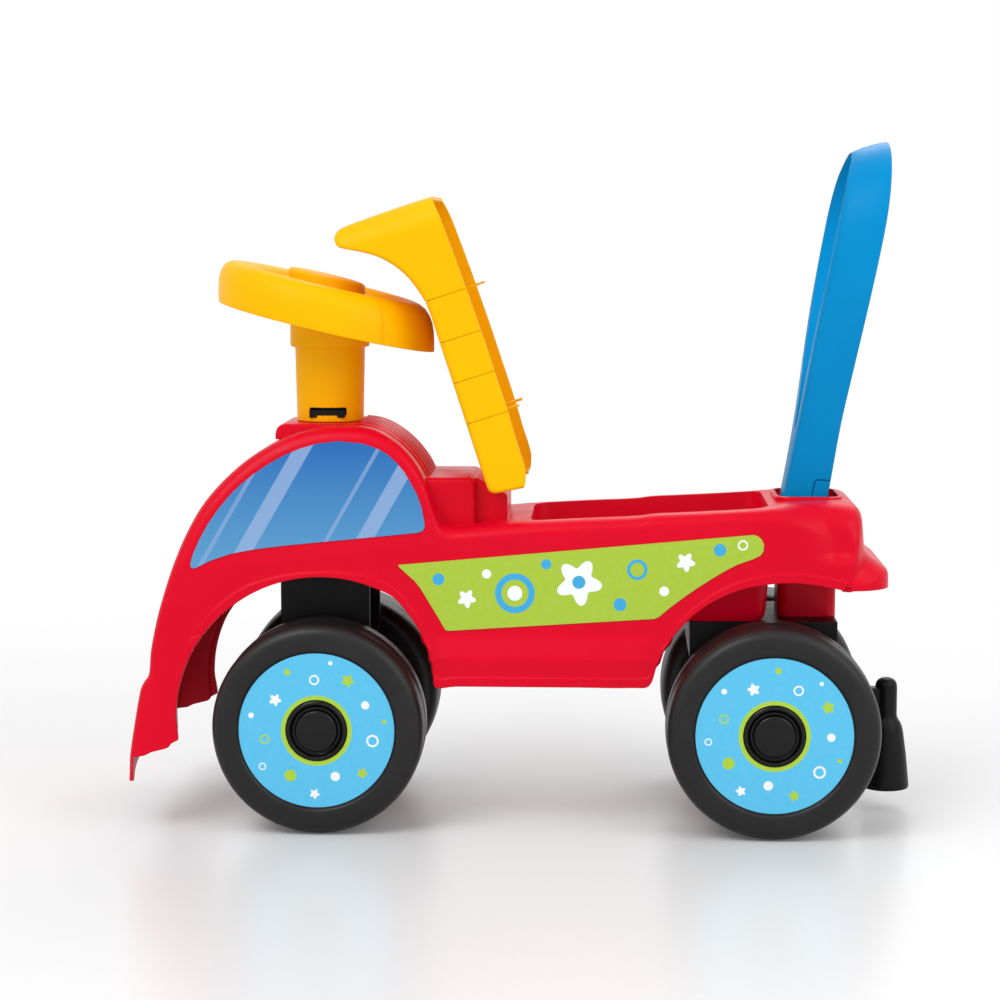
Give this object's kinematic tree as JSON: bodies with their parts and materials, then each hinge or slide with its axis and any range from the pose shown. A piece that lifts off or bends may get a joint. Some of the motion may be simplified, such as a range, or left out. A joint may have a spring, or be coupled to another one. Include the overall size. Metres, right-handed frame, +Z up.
{
  "type": "ride-on car",
  "caption": "Foot-to-floor ride-on car with a steering wheel, an opening seat lid over a storage well, a loop backrest handle and free-rolling wheels.",
  "frame": {"origin": "middle of the bounding box, on the floor under the wheels", "axes": "+Z up; -X is the nose, +X the tail; -Y is the car's left side; +Y its right side"},
  "size_m": [0.5608, 0.2274, 0.487],
  "materials": {
    "red_plastic": "injection-moulded, satin to gloss",
    "yellow_plastic": "injection-moulded, satin",
    "blue_plastic": "moulded, satin",
    "black_plastic": "moulded, satin black",
    "zinc_steel": "zinc plated",
    "wheel_print": "printed film, light blue",
    "green_print": "printed film, light green",
    "window_print": "printed film, blue"
  },
  "bodies": {
    "chassis": {"body_shell": "red_plastic", "rear_axle_carrier": "black_plastic", "stability_foot": "black_plastic", "backrest_handle": "blue_plastic", "window_sticker_left": "window_print", "window_sticker_right": "window_print", "side_sticker_left": "green_print", "side_sticker_right": "green_print", "rear_axle": "zinc_steel", "axle_nut_rear_left": "zinc_steel", "axle_nut_rear_right": "zinc_steel", "carrier_screw_1": "zinc_steel", "carrier_screw_2": "zinc_steel", "carrier_screw_3": "zinc_steel", "carrier_screw_4": "zinc_steel", "foot_screw_1": "zinc_steel", "foot_screw_2": "zinc_steel"},
    "steering": {"steering_fork": "black_plastic", "steering_column": "yellow_plastic", "steering_wheel": "yellow_plastic", "steering_hub_cover": "yellow_plastic", "steering_screw": "zinc_steel", "front_axle": "zinc_steel", "axle_nut_front_left": "zinc_steel", "axle_nut_front_right": "zinc_steel"},
    "lid": {"seat_lid": "yellow_plastic"},
    "wheel_front_left_body": {"wheel_front_left": "black_plastic", "hub_cap_front_left": "black_plastic", "wheel_sticker_front_left": "wheel_print"},
    "wheel_front_right_body": {"wheel_front_right": "black_plastic", "hub_cap_front_right": "black_plastic", "wheel_sticker_front_right": "wheel_print"},
    "wheel_rear_left_body": {"wheel_rear_left": "black_plastic", "hub_cap_rear_left": "black_plastic", "wheel_sticker_rear_left": "wheel_print"},
    "wheel_rear_right_body": {"wheel_rear_right": "black_plastic", "hub_cap_rear_right": "black_plastic", "wheel_sticker_rear_right": "wheel_print"}
  },
  "joints": [
    {"name": "steering_turn", "type": "hinge", "parent": "chassis", "child": "steering", "pos_m": [-0.1449, 0, 0.29], "axis": [0, 0, 1], "range_deg": [-8, 8]},
    {"name": "seat_lid_hinge", "type": "hinge", "parent": "chassis", "child": "lid", "pos_m": [-0.023, 0, 0.248], "axis": [0, 1, 0], "range_deg": [0, 105.2]},
    {"name": "wheel_front_left_spin", "type": "hinge", "parent": "steering", "child": "wheel_front_left_body", "pos_m": [-0.1449, -0.078, 0.075], "axis": [0, 1, 0], "continuous": true},
    {"name": "wheel_front_right_spin", "type": "hinge", "parent": "steering", "child": "wheel_front_right_body", "pos_m": [-0.1449, 0.078, 0.075], "axis": [0, 1, 0], "continuous": true},
    {"name": "wheel_rear_left_spin", "type": "hinge", "parent": "chassis", "child": "wheel_rear_left_body", "pos_m": [0.1743, -0.0845, 0.075], "axis": [0, 1, 0], "continuous": true},
    {"name": "wheel_rear_right_spin", "type": "hinge", "parent": "chassis", "child": "wheel_rear_right_body", "pos_m": [0.1743, 0.0845, 0.075], "axis": [0, 1, 0], "continuous": true}
  ]
}
